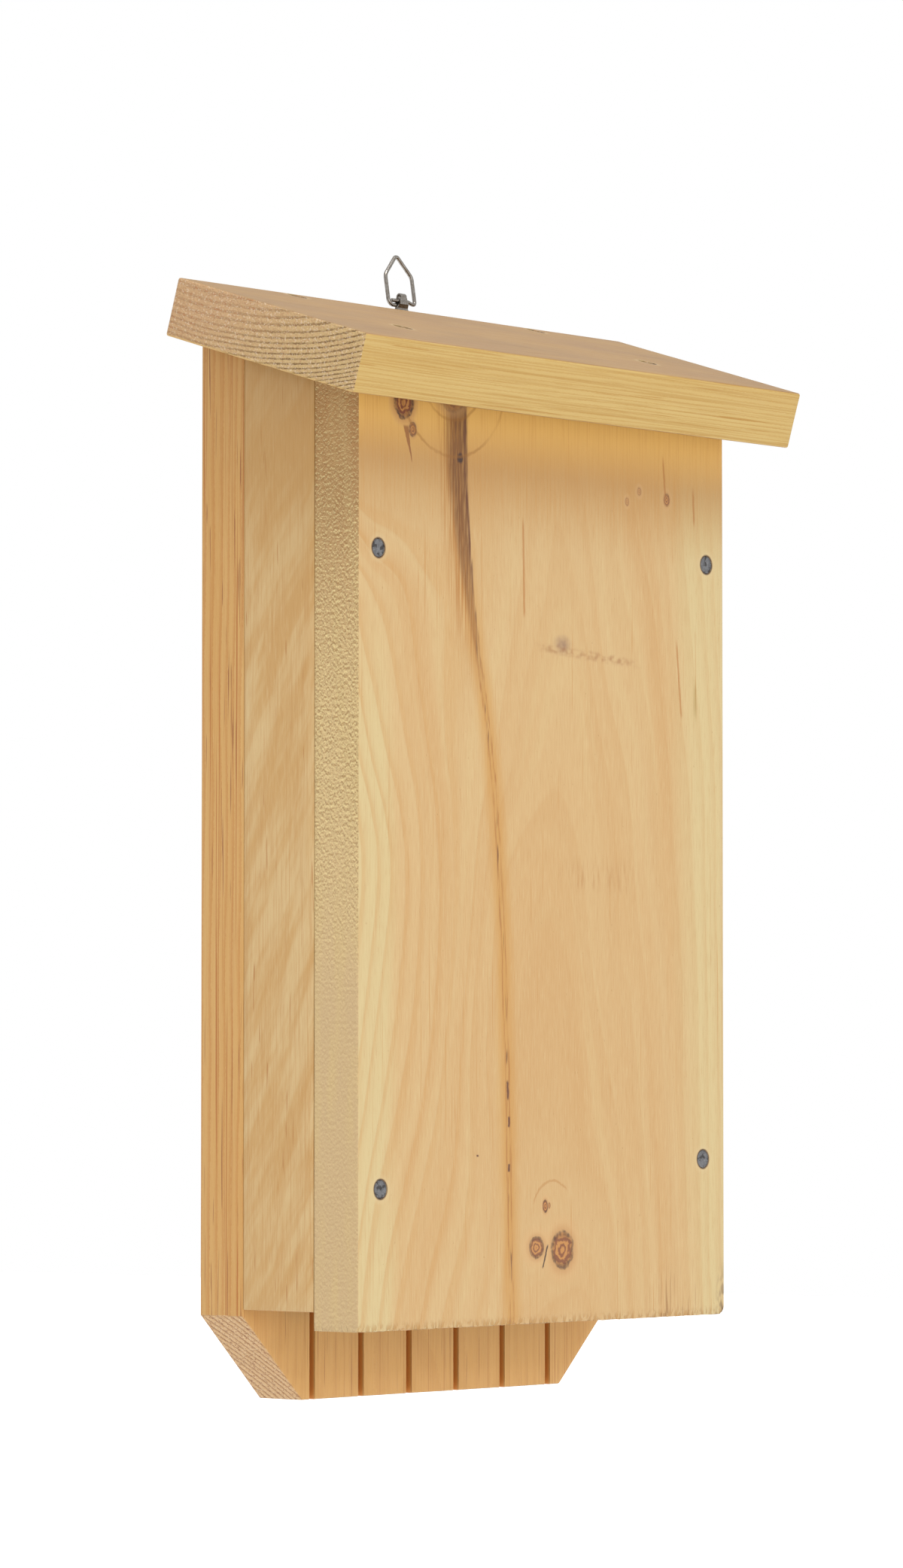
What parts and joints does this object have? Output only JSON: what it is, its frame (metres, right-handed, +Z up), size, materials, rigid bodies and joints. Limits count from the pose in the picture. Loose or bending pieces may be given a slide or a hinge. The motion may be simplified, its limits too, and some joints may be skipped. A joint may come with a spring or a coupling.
{
  "type": "bat box",
  "caption": "Narrow timber bat box, open underneath, with a sloping roof, a kerfed landing board below the opening and a swinging wire ring to hang it by.",
  "frame": {"origin": "middle of the rear face, which lies on the wall", "axes": "+Z up, +Y into the wall so that the front faces -Y, +X to the right as seen from the front"},
  "size_m": [0.2208, 0.0876, 0.3713],
  "materials": {
    "pine_front": "bare planed pine, honey yellow",
    "pine_side": "bare planed pine",
    "pine_back": "bare planed pine, orange brown",
    "pine_roof": "bare pine, rough sawn ends",
    "galvanised_steel": "dull grey zinc",
    "bright_steel": "bright drawn wire and sheet"
  },
  "bodies": {
    "box": {"roof": "pine_roof", "front_board": "pine_front", "back_board": "pine_back", "left_side_panel": "pine_side", "right_side_panel": "pine_side", "front_nail_upper_left": "galvanised_steel", "front_nail_upper_right": "galvanised_steel", "front_nail_lower_left": "galvanised_steel", "front_nail_lower_right": "galvanised_steel", "roof_nail_back_left": "galvanised_steel", "roof_nail_back_right": "galvanised_steel", "roof_nail_front_left": "galvanised_steel", "roof_nail_front_right": "galvanised_steel", "back_nail_upper_left": "galvanised_steel", "back_nail_upper_right": "galvanised_steel", "back_nail_lower_left": "galvanised_steel", "back_nail_lower_right": "galvanised_steel", "hanger_nail_upper": "galvanised_steel", "hanger_nail_lower": "galvanised_steel", "hanger_strap": "bright_steel"},
    "hanger_ring": {"hanger_ring": "bright_steel"}
  },
  "joints": [
    {"name": "ring_swing", "type": "hinge", "parent": "box", "child": "hanger_ring", "pos_m": [0.0051, 0.0002, 0.1889], "axis": [1, 0, 0], "range_deg": [-162, 118]}
  ]
}
